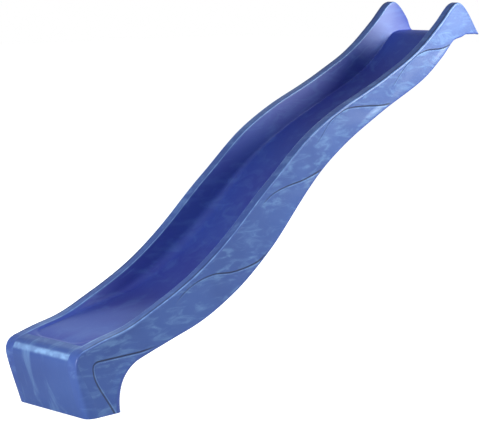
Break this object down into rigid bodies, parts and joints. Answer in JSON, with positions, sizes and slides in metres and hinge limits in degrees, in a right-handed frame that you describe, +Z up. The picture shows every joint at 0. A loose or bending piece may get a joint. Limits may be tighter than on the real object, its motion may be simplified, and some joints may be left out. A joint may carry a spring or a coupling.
{
  "type": "wave slide",
  "caption": "Double-walled moulded wave slide with a humped chute, raised side walls, a fixing lip for a deck and a rolled nose on two feet",
  "frame": {"origin": "Midway between the two fixing holes of the top lip, on its underside, which is the deck's top face.", "axes": "+Z up, +X across the slide towards the rider's left, -Y the way the slide goes down; metres."},
  "size_m": [0.46, 2.685, 1.6596],
  "materials": {
    "chute_plastic": "smooth, slightly glossy moulded polyethylene",
    "outer_plastic": "fine-textured moulded polyethylene with pale flow marks",
    "underside_plastic": "textured moulded polyethylene",
    "plug_plastic": "moulded black polyethylene"
  },
  "bodies": {
    "root": {"bed_top": "chute_plastic", "bed_hump": "chute_plastic", "bed_steep": "chute_plastic", "bed_run_out": "chute_plastic", "inner_wall_left": "chute_plastic", "inner_wall_right": "chute_plastic", "rim_left": "outer_plastic", "rim_right": "outer_plastic", "rear_edge_left": "outer_plastic", "rear_edge_right": "outer_plastic", "nose_corner_left": "outer_plastic", "nose_corner_right": "outer_plastic", "outer_wall_left": "outer_plastic", "outer_wall_right": "outer_plastic", "nose_apron": "outer_plastic", "rail_base_left": "underside_plastic", "rail_base_right": "underside_plastic", "rail_side_left_top": "underside_plastic", "rail_side_left_hump": "underside_plastic", "rail_side_left_steep": "underside_plastic", "rail_side_left_foot": "underside_plastic", "rail_side_right_top": "underside_plastic", "rail_side_right_hump": "underside_plastic", "rail_side_right_steep": "underside_plastic", "rail_side_right_foot": "underside_plastic", "lip_base": "underside_plastic", "underside_pan": "underside_plastic", "apron_back": "underside_plastic", "apron_sole": "underside_plastic", "foot_sole_left": "underside_plastic", "foot_sole_right": "underside_plastic", "blow_hole_plug_upper": "plug_plastic", "blow_hole_plug_lower": "plug_plastic"}
  },
  "joints": []
}
